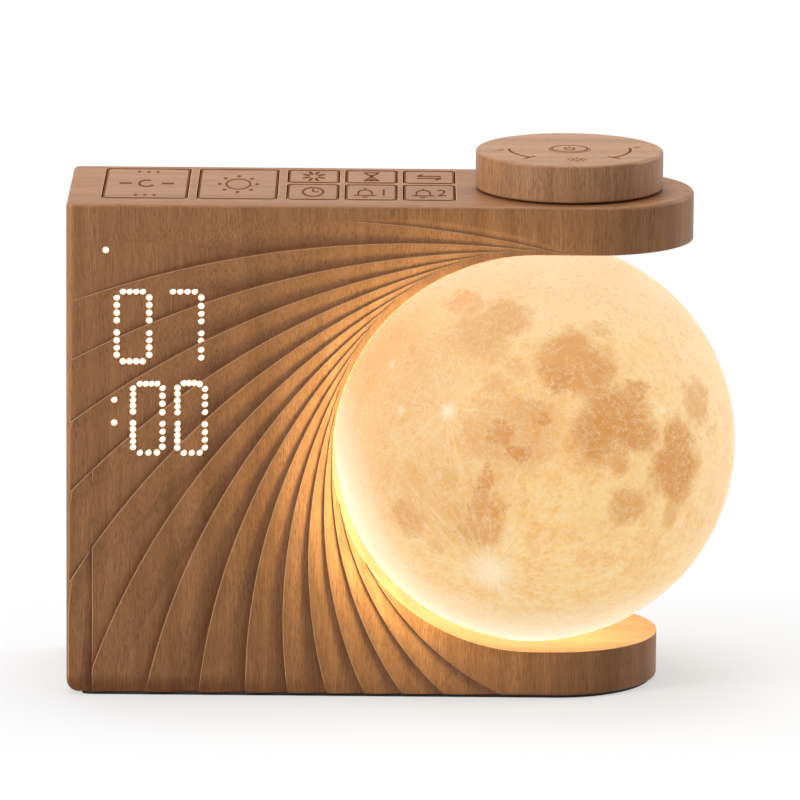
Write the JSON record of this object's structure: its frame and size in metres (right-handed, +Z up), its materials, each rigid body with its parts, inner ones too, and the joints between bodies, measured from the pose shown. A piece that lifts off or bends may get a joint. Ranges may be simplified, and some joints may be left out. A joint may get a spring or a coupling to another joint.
{
  "type": "sunrise alarm clock",
  "caption": "C-shaped wooden alarm clock with a carved fan front, hidden dot display, flat top keys, a turning dial and a glowing moon globe between its arms",
  "frame": {"origin": "centre of the overall footprint, on the surface the clock stands on", "axes": "+X right along the front, +Y to the back, +Z up"},
  "size_m": [0.1992, 0.12, 0.161],
  "materials": {
    "wood_body": "satin",
    "wood_keys": "satin",
    "rear_plastic": "matte",
    "foot_rubber": "matte",
    "moon_plastic": "printed",
    "black_plastic": "matte",
    "white_plastic": "matte",
    "circuit_board": "solder mask",
    "steel_screws": "zinc",
    "spring_steel": "bright",
    "magnet_nickel": "plated",
    "warm_leds": "clear",
    "white_leds": "clear",
    "speaker_paper": "matte",
    "foam": "foam"
  },
  "bodies": {
    "clock": {"housing": "wood_body", "rear_cover": "rear_plastic", "cover_screws": "steel_screws", "base_pad": "foot_rubber", "key_switches": "black_plastic", "key_board": "circuit_board", "key_board_screws": "steel_screws", "bearing_post": "black_plastic", "post_screws": "steel_screws", "retaining_clip": "spring_steel", "button_switch": "black_plastic", "encoder_board": "circuit_board", "encoder_screws": "steel_screws", "hall_sensors": "black_plastic", "moon_shell": "moon_plastic", "moon_socket": "white_plastic", "socket_screws": "steel_screws", "lamp_board": "circuit_board", "lamp_leds": "warm_leds", "lamp_diffuser": "white_plastic", "display_baffle": "black_plastic", "display_board": "circuit_board", "display_leds": "white_leds", "display_spacers": "white_plastic", "display_screws": "steel_screws", "speaker_gasket": "foam", "speaker_basket": "steel_screws", "speaker_cone": "speaker_paper", "speaker_magnet": "magnet_nickel", "speaker_screws": "steel_screws", "main_board": "circuit_board", "main_board_screws": "steel_screws", "board_chips": "black_plastic", "cell_holder": "black_plastic", "coin_cell": "spring_steel", "usb_socket": "spring_steel"},
    "dial": {"dial_knob": "wood_keys", "magnet_ring": "magnet_nickel"},
    "dial_button": {"knob_button": "wood_keys"},
    "snooze": {"snooze_key": "wood_keys"},
    "light": {"light_key": "wood_keys"},
    "clock_set": {"clock_key": "wood_keys"},
    "sound": {"sound_key": "wood_keys"},
    "alarm_1": {"alarm_1_key": "wood_keys"},
    "timer": {"timer_key": "wood_keys"},
    "alarm_2": {"alarm_2_key": "wood_keys"},
    "swap": {"swap_key": "wood_keys"}
  },
  "joints": [
    {"name": "dial_turn", "type": "hinge", "parent": "clock", "child": "dial", "pos_m": [0.049, 0, 0.1553], "axis": [0, 0, 1], "continuous": true},
    {"name": "dial_button_press", "type": "slide", "parent": "clock", "child": "dial_button", "axis": [0, 0, -1], "range_m": [0, 0.001], "stiffness_N_per_m": 800},
    {"name": "snooze_press", "type": "slide", "parent": "clock", "child": "snooze", "axis": [0, 0, -1], "range_m": [0, 0.0008], "stiffness_N_per_m": 1000},
    {"name": "light_press", "type": "slide", "parent": "clock", "child": "light", "axis": [0, 0, -1], "range_m": [0, 0.0008], "stiffness_N_per_m": 1000},
    {"name": "clock_set_press", "type": "slide", "parent": "clock", "child": "clock_set", "axis": [0, 0, -1], "range_m": [0, 0.0008], "stiffness_N_per_m": 1000},
    {"name": "sound_press", "type": "slide", "parent": "clock", "child": "sound", "axis": [0, 0, -1], "range_m": [0, 0.0008], "stiffness_N_per_m": 1000},
    {"name": "alarm_1_press", "type": "slide", "parent": "clock", "child": "alarm_1", "axis": [0, 0, -1], "range_m": [0, 0.0008], "stiffness_N_per_m": 1000},
    {"name": "timer_press", "type": "slide", "parent": "clock", "child": "timer", "axis": [0, 0, -1], "range_m": [0, 0.0008], "stiffness_N_per_m": 1000},
    {"name": "alarm_2_press", "type": "slide", "parent": "clock", "child": "alarm_2", "axis": [0, 0, -1], "range_m": [0, 0.0008], "stiffness_N_per_m": 1000},
    {"name": "swap_press", "type": "slide", "parent": "clock", "child": "swap", "axis": [0, 0, -1], "range_m": [0, 0.0008], "stiffness_N_per_m": 1000}
  ]
}
